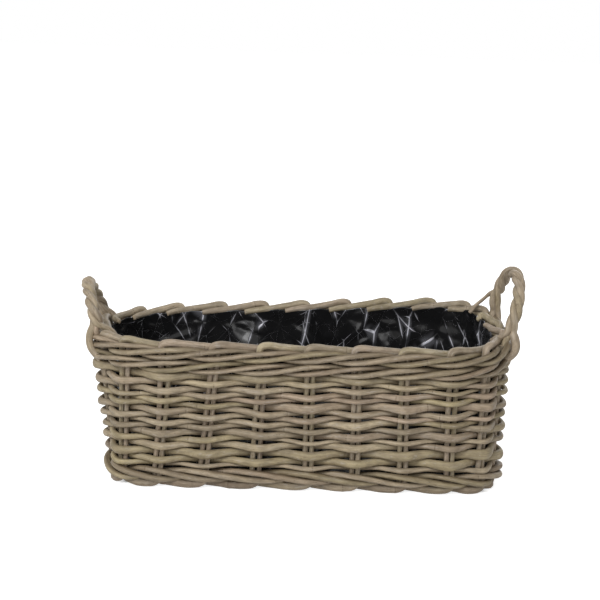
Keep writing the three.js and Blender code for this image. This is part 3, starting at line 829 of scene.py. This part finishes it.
# Cane: the middle of the rope plus a radius that turns round it, with a tail at either leg
def twistHandles():
    h = handles
    for b, handle in enumerate(h["sides"]):
        facing = handleFacing(handle)
        hasStay = "stayTail" in handle["tails"][1]
        share = np.linspace(h["margin"], 1 - h["margin"], h["samples"])
        middle, ahead, behind = (archPoints(handle, share + step) for step in (0, 0.02, -0.02))
        forward = unit(ahead - behind)
        side = unit(facing - forward * (forward @ facing)[:, None])
        up = np.cross(side, forward)
        for strand in range(3):
            seed = h["seed"] + b * 10 + strand
            rng = np.random.default_rng(seed)
            angle = fullTurn * (h["turns"] * np.linspace(0, 1, h["samples"]) + strand / 3)
            angle = angle + h["looseTwist"] * wander(rng, h["samples"], 8)
            radial = side * np.cos(angle)[:, None] + up * np.sin(angle)[:, None]
            rope = middle + radial * h["ropeRadius"]
            if strand == 1 and hasStay:
                rope = rope[share < h["stayFrom"]]
            nearTail = strandTail(handle, strand, 0)[::-1]
            farTail = strandTail(handle, strand, 1)
            points = np.concatenate([nearTail, rope[::4], farTail])
            path = easePath(splineThrough(points, h["spacing"]), 3)
            count = len(path)
            reference = np.broadcast_to(facing, path.shape) + 0.35 * unit(path - path.mean(0))
            half = h["strandHalf"] * (1 + h["uneven"] * wander(rng, count, 14))
            fromNear = np.arange(count) * h["spacing"]
            if strand == 0 and handle["tails"][0][0] == "shortTail":
                end, over = h["swellEase"]
                half = half * (1 + h["shortSwell"] * np.clip((end - fromNear) / over, 0, 1))
            if strand == 1:
                end, over = h["thinEase"]
                farHalf = h["stayHalf" if hasStay else "tuckedHalf"]
                for fromEnd, thin in ((fromNear, h["tuckedHalf"]), (fromNear[::-1], farHalf)):
                    half = thin + (half - thin) * np.clip((fromEnd - end) / over, 0, 1)
            if strand == 2:
                grown = h["drivenHalf"][0] + (path[:, 2] - h["drivenFrom"]) * h["drivenGrow"]
                half = np.minimum(half, np.clip(grown, *h["drivenHalf"]))
            tone = rng.uniform(*h["tones"]) + 0.08 * wander(rng, count, 10)
            tint = np.clip(rng.uniform(0.3, 0.7) + 0.18 * wander(rng, count, 10), 0, 1)
            name = f"{handle['name']}_strand_{strand + 1:02d}"
            piece = rodPiece(name + "_cane", path, reference, half, half, False, seed, tone, tint, 0.0)
            standFor(piece, name, finishes["handle_cane"])


twistHandles()
print("handles twisted")

# Base slats: two lengthwise on the folded feet, two across them
slats = {
    "half": 7.5,
    "thickHalf": 1.7,
    "sides": 28,
    "squareness": 6.0,       # 2 is round, higher is squarer
    "uneven": (0.5, 0.03),   # of the place, and of the width as a share
    "longY": 21.5,
    "longHalf": 193.0,
    "crossX": 70.0,
    "crossHalf": 76.4,
    "lowLevel": 8.4,
    "highLevel": 12.0,
    "darkColor": (0.17, 0.115, 0.065, 1),
    "paleColor": (0.36, 0.275, 0.18, 1),
    "dustColor": (0.42, 0.36, 0.29, 1),
    "samples": 60,
    "seed": 55,
}


# Sawn wood: grain lines drawn out along the slat, and paler dusty patches
def slatMaterial():
    finish, tree, shader = newFinish("base_wood", 0.5)
    place = addNode(tree, "ShaderNodeTexCoord").outputs["Object"]
    turned = addNode(tree, "ShaderNodeMapping", {0: place, "Scale": (9.0, 9.0, 60.0)}).outputs[0]
    grain = noiseNode(tree, turned, 6.0, 5.0).outputs[0]
    uv = addNode(tree, "ShaderNodeUVMap", uv_map="surface").outputs[0]
    stretched = addNode(tree, "ShaderNodeMapping", {0: uv, "Scale": (9.0, 18.0, 1.0)}).outputs[0]
    lines = noiseNode(tree, stretched, 1.0, 4.0, 0.65).outputs[0]
    color = mixColor(tree, mapRange(tree, lines, 0.3, 0.7), slats["darkColor"], slats["paleColor"])
    color = mixColor(tree, mapRange(tree, grain, 0.45, 0.75, 0, 0.45), color, slats["dustColor"])
    inputs = {"Height": lines, "Strength": 0.5, "Distance": 0.0007}
    bump = addNode(tree, "ShaderNodeBump", inputs).outputs[0]
    feedShader(tree, shader, color, mapRange(tree, lines, 0.3, 0.7, 0.8, 0.62), bump)
    return finish


finishes["base_wood"] = slatMaterial()


# Slat: a nearly square ring carried along a straight line, with slightly uneven edges
def laySlats():
    s = slats
    run = np.linspace(-1, 1, s["samples"])
    rows = (("base_slat_front", 0, -s["longY"], s["longHalf"], s["lowLevel"]),
            ("base_slat_back", 0, s["longY"], s["longHalf"], s["lowLevel"]),
            ("base_slat_left", 1, -s["crossX"], s["crossHalf"], s["highLevel"]),
            ("base_slat_right", 1, s["crossX"], s["crossHalf"], s["highLevel"]))
    for b, (name, crosswise, offset, halfRun, level) in enumerate(rows):
        rng = np.random.default_rng(s["seed"] + b)
        lengthways = run * halfRun
        sideways = offset + s["uneven"][0] * wander(rng, s["samples"], 5)
        height = np.full(s["samples"], level)
        path = np.stack([sideways, lengthways, height] if crosswise else [lengthways, sideways, height], -1)
        path[:, 0] += wall["shift"]
        side = np.broadcast_to([1.0, 0, 0] if crosswise else [0, 1.0, 0], path.shape)
        width = s["half"] * (1 + s["uneven"][1] * wander(rng, s["samples"], 6))
        piece = rodPiece(name + "_wood", path, side, width, s["thickHalf"], False, s["seed"] + b,
                         1.0, 0.5, 0.0, sides=s["sides"], squareness=s["squareness"])
        standFor(piece, name, finishes["base_wood"])


laySlats()
print("base laid")

# Liner: a crumpled tub of thin black film, tucked under the border and lying on the slats
liner = {
    "inset": 11.0,           # depth of the smooth tub inside the stakes
    "floor": 14.3,
    "floorRound": 3.5,
    "top": 148.6,
    "around": 384,
    "wallLevels": 84,
    "roundLevels": 9,
    "floorLevels": 30,
    "thickness": 0.25,
    "ridge": 108.0,          # half the line along the middle of the floor to which the rings draw in
    "mergeWithin": 1e-6,     # metres; closes that line
    "foldDepths": (2.6, 2.2, 0.9),   # of broad, slanting and fine folds
    # how many fit round the wall, their slant and length, how far they are bent aside and down, and a seed
    "folds": ((15, 70, 95, 0.6, 0.0, 11), (33, 38, 60, 0.7, 0.5, 23),
              (27, -55, 48, 0.6, -1.0, 37), (80, 22, 30, 1.0, 1.0, 51)),
    "bending": (24, 30, 5),
    "floorFolds": ((46, 71), (21, 83)),   # size and seed of the broad and the fine ones
    "floorPeriod": 80,       # over which they repeat, counted from half of it so as to stay positive
    "floorRise": 2.4,        # how far the floor's creases stand up
    "floorPattern": 5.0,     # sets the floor's pattern apart from the wall's
    "floorRun": 70.0,
    "floorEase": 6.0,        # how soon the floor takes over from the wall
    "floorCalm": 0.75,
    "hem": 16.0,             # height of the tuck under the border
    "hemOut": 1.2,
    "hemDrops": (0.8, 1.8),  # all along, and besides where no border rod holds it
    "heldAt": (0.18, 0.2),   # where between two pairs a rod does, and over what width
    "calmOver": 14.0,        # the folds fade over this height towards the tuck
    "clear": (0.3, 0.2),     # inward set, and how far a fold may stand outwards
    "handleLift": 2.6,       # how much higher the edge stands behind the right handle
    "liftPair": 7.6,
    "liftWidth": 0.5,        # in pairs of stakes
}

noiseRows = 64               # rows of the lattice before it repeats upwards


# Gradient noise on a lattice that closes on itself sideways: mean of the four corner slopes, eased
def latticeNoise(x, y, period, seed):
    rng = np.random.default_rng(seed)
    angles = rng.uniform(0, fullTurn, (period, noiseRows))
    low = np.floor(np.stack([x, y], -1)).astype(int)
    fx, fy = x - low[..., 0], y - low[..., 1]

    def corner(dx, dy):
        a = angles[(low[..., 0] + dx) % period, (low[..., 1] + dy) % noiseRows]
        return np.cos(a) * (fx - dx) + np.sin(a) * (fy - dy)

    ex, ey = (f ** 3 * (f * (6 * f - 15) + 10) for f in (fx, fy))
    below = corner(0, 0) * (1 - ex) + corner(1, 0) * ex
    above = corner(0, 1) * (1 - ex) + corner(1, 1) * ex
    return below * (1 - ey) + above * ey


# Creased film: folded sheets of noise, so that flat facets meet along sharp lines; slanted like the pull
# of the tuck
def filmFolds(around, run):
    number, length, seed = liner["bending"]
    warp = latticeNoise(around * number, run / length, number, seed)

    def folded(number, slant, length, aside, down, seed):
        across = around * number + run / slant + aside * warp
        return np.abs(latticeNoise(across, run / length + down * warp, number, seed)) * 2

    broad, slant, cross, fine = (folded(*fold) for fold in liner["folds"])
    depths = liner["foldDepths"]
    return depths[0] * broad + depths[1] * (slant - cross) + depths[2] * fine * slant


# Creases of the film's floor: two sizes of folded noise by place
def floorCrumple(x, y):
    period = liner["floorPeriod"]
    broad, fine = (np.abs(latticeNoise(x / size + period / 2, y / size + period / 2, period, seed))
                   for size, seed in liner["floorFolds"])
    return broad + 0.5 * fine


# How the film looks; lengths in metres down from the tuck
filmLook = {
    # layers of crumpled facets: turn, scale across and down, tilt of a facet, width of its creases, scale of
    # the patches that have creases, and the noise level at which those begin
    "layers": ((0.3, (37.0, 12.5, 1.0), 0.28, 0.025, 24.0, 0.46),
               (-0.5, (60.0, 21.0, 1.0), 0.2, 0.032, 27.0, 0.49),
               (0.8, (96.0, 40.0, 1.0), 0.16, 0.032, 31.0, 0.57)),
    "swerve": (0.8, 0.7),                 # scale and amount of the bending of facets
    "softness": 0.45,
    "evenTilt": (0.5, 0.5, 0.59),         # what is taken from a random colour, so that most lean downwards
    "glow": (6.0, 0.8, 0.13),             # soft edge of a crease, in the bump and as painted highlight: from and to, in widths, and its strength
    "floorFrom": (0.12, 0.16),            # where the facets flatten, and by how much
    "floorTilt": 0.4,
    "paintedHighlightFrom": (0.038, 0.085),         # where the painted crease highlights fade, and by how much
    "paintedHighlightLeft": 0.16,
    "underBorder": (0.006, 0.024, -0.3),  # where the film turns under the border, and how far it leans
    "black": (0.0105, 0.0105, 0.011, 1),
    # colour of the painted highlights along the creases
    "pale": (0.82, 0.82, 0.9, 1),
}


# Black film: faint broad waves under crumpled facets, with soft-edged creases along some of their edges,
# and painted pale highlights along those creases
def filmMaterial():
    look = filmLook
    finish, tree, shader = newFinish("liner_film", 0.32)
    uv = addNode(tree, "ShaderNodeUVMap", uv_map="surface").outputs[0]

    def cellsAt(vector, feature, **inputs):
        return addNode(tree, "ShaderNodeTexVoronoi", {"Vector": vector, "Scale": 1.0, **inputs},
                       voronoi_dimensions="2D", feature=feature).outputs

    # cells of a turned, drawn-out and slightly bent pattern: each tilts its own way, mostly downwards; the
    # crease lines along their edges widen from nothing within patches
    def facets(turn, stretch, tilt, width, patchScale, patchFrom):
        turned = addNode(tree, "ShaderNodeMapping", {0: uv, "Rotation": (0, 0, turn)}).outputs[0]
        drawn = addNode(tree, "ShaderNodeMapping", {0: turned, "Scale": stretch}).outputs[0]
        swerve = noiseNode(tree, drawn, look["swerve"][0], 1.0).outputs[1]
        bent = vectorNode(tree, "ADD", drawn, scaleVector(tree, swerve, look["swerve"][1]))
        facing = cellsAt(bent, "SMOOTH_F1", Smoothness=look["softness"])["Color"]
        edge = cellsAt(bent, "DISTANCE_TO_EDGE")["Distance"]
        lean = scaleVector(tree, vectorNode(tree, "SUBTRACT", facing, look["evenTilt"]), tilt)
        patches = noiseNode(tree, turned, patchScale, 1.0).outputs[0]
        spread = mapRange(tree, patches, patchFrom, patchFrom + 0.2, 0.0, width)
        off = mathNode(tree, "DIVIDE", edge, mathNode(tree, "MAXIMUM", spread, 0.0005))
        # the soft edge adds to the bump and to the painted highlight
        start, end, strength = look["glow"]
        glow = mathNode(tree, "MULTIPLY", mapRange(tree, off, start, end), strength)
        return lean, mathNode(tree, "MAXIMUM", mapRange(tree, off, 1.3, 0.3), glow)

    (lean, lines), *others = [facets(*layer) for layer in look["layers"]]
    for moreLean, moreLines in others:
        lean = vectorNode(tree, "ADD", lean, moreLean)
        lines = mathNode(tree, "MAXIMUM", lines, moreLines)
    run = addNode(tree, "ShaderNodeSeparateXYZ", {0: uv}).outputs[1]
    lean = scaleVector(tree, lean, mapRange(tree, run, *look["floorFrom"], 1.0, look["floorTilt"]))
    start, end, turnUnder = look["underBorder"]
    under = addNode(tree, "ShaderNodeCombineXYZ", {2: mapRange(tree, run, start, end, turnUnder, 0.0)})
    lean = vectorNode(tree, "ADD", lean, under.outputs[0])
    waves = noiseNode(tree, uv, 32.0, 1.5).outputs[0]
    height = mathNode(tree, "ADD", lines, mathNode(tree, "MULTIPLY", waves, 1.5))
    bump = addNode(tree, "ShaderNodeBump", {"Height": height, "Strength": 0.7, "Distance": 0.0009})
    normal = vectorNode(tree, "NORMALIZE", vectorNode(tree, "ADD", bump.outputs[0], lean))
    patches = mapRange(tree, noiseNode(tree, uv, 60.0, 1.0).outputs[0], 0.36, 0.6)
    # painted highlights: the creases, in patches, drawn pale over the black film
    paintedHighlight = mathNode(tree, "MULTIPLY", lines, patches)
    nearTuck = mapRange(tree, run, *look["paintedHighlightFrom"], 1.0, look["paintedHighlightLeft"])
    paintedHighlight = mathNode(tree, "MULTIPLY", paintedHighlight, nearTuck)
    color = mixColor(tree, paintedHighlight, look["black"], look["pale"])
    feedShader(tree, shader, color, mapRange(tree, waves, 0.3, 0.7, 0.12, 0.24), normal)
    return finish


finishes["liner_film"] = filmMaterial()


# Film: rings round the wall from the tuck to the floor, then rings drawing in to a line along the middle
def hangLiner():
    f = liner
    bottom, bendRadius = f["floor"], f["floorRound"]
    wallCount, floorCount = f["wallLevels"], f["floorLevels"]
    wallRun = f["top"] - bottom - bendRadius
    arc = np.linspace(0, np.pi / 2, f["roundLevels"] + 2)[1:-1]
    inwards = np.linspace(0, 1, floorCount)
    height = np.concatenate([np.linspace(f["top"], bottom + bendRadius, wallCount),
                             bottom + bendRadius * (1 - np.sin(arc)), np.full(floorCount, bottom)])
    depth = np.concatenate([np.zeros(wallCount), -bendRadius * (1 - np.cos(arc)),
                            np.full(floorCount, -bendRadius)]) - f["inset"]
    draw = np.concatenate([np.zeros(wallCount + f["roundLevels"]), inwards])
    run = np.concatenate([np.linspace(0, wallRun, wallCount), wallRun + bendRadius * arc,
                          wallRun + bendRadius * np.pi / 2 + inwards * f["floorRun"]])
    around = np.arange(f["around"]) / f["around"]
    sGrid, rGrid = np.meshgrid(around, run, indexing="ij")
    hGrid = np.broadcast_to(height, sGrid.shape)
    dGrid = np.broadcast_to(depth, sGrid.shape)
    inGrid = np.broadcast_to(draw, sGrid.shape)
    floorShare = np.clip(inGrid * f["floorEase"], 0, 1)
    # the tuck: held up by each border rod, dropping between them, and higher behind the right handle
    pairs = pairIndex(sGrid * fullLength)
    held = np.exp(-((np.mod(pairs - f["heldAt"][0], 1) - 0.5) / f["heldAt"][1]) ** 2)
    hem = np.clip(1 - rGrid / f["hem"], 0, 1)
    lift = f["handleLift"] * np.exp(-((pairs - f["liftPair"]) / f["liftWidth"]) ** 2)
    hGrid = hGrid + hem * (lift - f["hemDrops"][0] - f["hemDrops"][1] * (1 - held))
    calm = np.clip(rGrid / f["calmOver"], 0.15, 1) * (1 - f["floorCalm"] * floorShare)
    push = np.maximum(filmFolds(sGrid, rGrid) * calm, -f["clear"][1])
    dGrid = dGrid - push - f["clear"][0] + hem * f["hemOut"]
    points = wallPoints(sGrid * fullLength, hGrid, dGrid)[0]
    # front and back meet on the same points of the middle line
    ridgeX = np.clip(points[..., 0] - wall["shift"], -f["ridge"], f["ridge"]) + wall["shift"]
    opposite = (len(around) // 2 - np.arange(len(around))) % len(around)
    ridgeX = (ridgeX + ridgeX[opposite]) / 2
    ridge = np.stack([ridgeX, np.zeros_like(ridgeX), points[..., 2]], -1)
    points = points * (1 - inGrid[..., None]) + ridge * inGrid[..., None]
    points[..., 2] += floorShare * f["floorRise"] * floorCrumple(points[..., 0], points[..., 1])
    count, levels = sGrid.shape
    i, k = (v.ravel() for v in np.meshgrid(np.arange(count), np.arange(levels - 1), indexing="ij"))
    j = (i + 1) % count
    corners = ((i, k), (i, k + 1), (j, k + 1), (j, k))
    quads = np.stack([a * levels + b for a, b in corners], -1)
    # the pattern runs round and down the wall, and lies flat on the floor
    u0, u1 = i / count * fullLength * metre, (i + 1) / count * fullLength * metre
    v0, v1 = run[k] * metre, run[k + 1] * metre
    hung = [np.stack(place, -1) for place in ((u0, v0), (u0, v1), (u1, v1), (u1, v0))]
    laid = [points[a, b, :2] * metre + f["floorPattern"] for a, b in corners]
    onFloor = (k >= wallCount + f["roundLevels"])[:, None]
    loopUv = np.stack([np.where(onFloor, *pair) for pair in zip(laid, hung)], 1).reshape(-1, 2)
    piece = meshPiece("liner_film_tub", points.reshape(-1, 3), quads, np.zeros((0, 3), int), loopUv, {})
    merged = bmesh.new()
    merged.from_mesh(piece.data)
    bmesh.ops.remove_doubles(merged, verts=merged.verts, dist=f["mergeWithin"])
    merged.to_mesh(piece.data)
    merged.free()
    shell = piece.modifiers.new("filmThickness", "SOLIDIFY")
    shell.thickness = f["thickness"] * metre
    shell.offset = 0
    standFor(piece, "liner", finishes["liner_film"])
    return piece


film = hangLiner()
print("liner hung")

# Floor and light: a white floor that keeps a soft shadow, an even white surround and four soft lamps
studio = {
    "floorHalf": 40.0,
    "floorColor": (0.75, 0.75, 0.75, 1),
    "floorGlow": 0.8,        # plain white seen on the floor besides the light that falls on it
    "shade": (0.192, 0.082), # half length and width of the ground under the basket, which has none
    "aim": (0, 0, 0.08),
    "surround": 0.34,
    "lamps": (("keySoftbox", (-1.0, -1.9, 1.8), 1.2, 42.0), ("fillSoftbox", (1.9, -1.2, 1.4), 1.4, 0.6),
              ("frontSoftbox", (-0.3, -2.4, 0.8), 1.2, 10.0), ("backSoftbox", (0.9, 2.2, 1.2), 1.4, 23.0)),
}


# White where the camera looks, and where gloss and glass show what it would see
def seenRays(tree):
    path = addNode(tree, "ShaderNodeLightPath")
    seen = mathNode(tree, "MAXIMUM", path.outputs["Is Camera Ray"], path.outputs["Is Glossy Ray"])
    return mathNode(tree, "MAXIMUM", seen, path.outputs["Is Transmission Ray"])


def setStudio():
    mesh = bpy.data.meshes.new("studioFloor")
    r = studio["floorHalf"]
    mesh.from_pydata([(-r, -r, 0), (r, -r, 0), (r, r, 0), (-r, r, 0)], [], [(0, 1, 2, 3)])
    floor = bpy.data.objects.new("studioFloor", mesh)
    bpy.context.scene.collection.objects.link(floor)
    finish = bpy.data.materials.new("floorWhite")
    finish.use_nodes = True
    tree = finish.node_tree
    tree.nodes.remove(tree.nodes["Principled BSDF"])
    matt = addNode(tree, "ShaderNodeBsdfDiffuse", {"Color": studio["floorColor"]})
    place = addNode(tree, "ShaderNodeTexCoord").outputs["Object"]
    moved = vectorNode(tree, "ADD", place, (-wall["shift"] * metre, 0, 0))
    parts = addNode(tree, "ShaderNodeSeparateXYZ", {0: moved})
    away = [mathNode(tree, "DIVIDE", mathNode(tree, "ABSOLUTE", parts.outputs[k]), half)
            for k, half in enumerate(studio["shade"])]
    openFloor = mapRange(tree, mathNode(tree, "MAXIMUM", *away), 0.92, 1.0)
    share = mathNode(tree, "MULTIPLY", seenRays(tree), studio["floorGlow"])
    share = mathNode(tree, "MULTIPLY", share, openFloor)
    glow = addNode(tree, "ShaderNodeEmission", {"Color": (1, 1, 1, 1), "Strength": share})
    mixed = addNode(tree, "ShaderNodeAddShader", {0: matt.outputs[0], 1: glow.outputs[0]})
    tree.links.new(mixed.outputs[0], tree.nodes["Material Output"].inputs[0])
    mesh.materials.append(finish)

    world = bpy.data.worlds.new("studioWorld")
    bpy.context.scene.world = world
    world.use_nodes = True
    tree = world.node_tree
    strength = mathNode(tree, "MULTIPLY_ADD", seenRays(tree), 1 - studio["surround"], studio["surround"])
    sky = tree.nodes["Background"]
    sky.inputs["Color"].default_value = (1, 1, 1, 1)
    tree.links.new(strength, sky.inputs["Strength"])

    for name, position, size, power in studio["lamps"]:
        data = bpy.data.lights.new(name, "AREA")
        data.shape = "SQUARE"
        data.size = size
        data.energy = power
        lamp = bpy.data.objects.new(name, data)
        back = unit(np.array(position) - np.array(studio["aim"]))
        across = unit(np.cross([0, 0, 1.0], back))
        place = np.eye(4)
        place[:3, 0], place[:3, 1], place[:3, 2] = across, np.cross(back, across), back
        place[:3, 3] = position
        lamp.matrix_world = Matrix(place.tolist())
        bpy.context.scene.collection.objects.link(lamp)


setStudio()
bpy.context.scene.view_settings.view_transform = "Standard"
print("studio set")
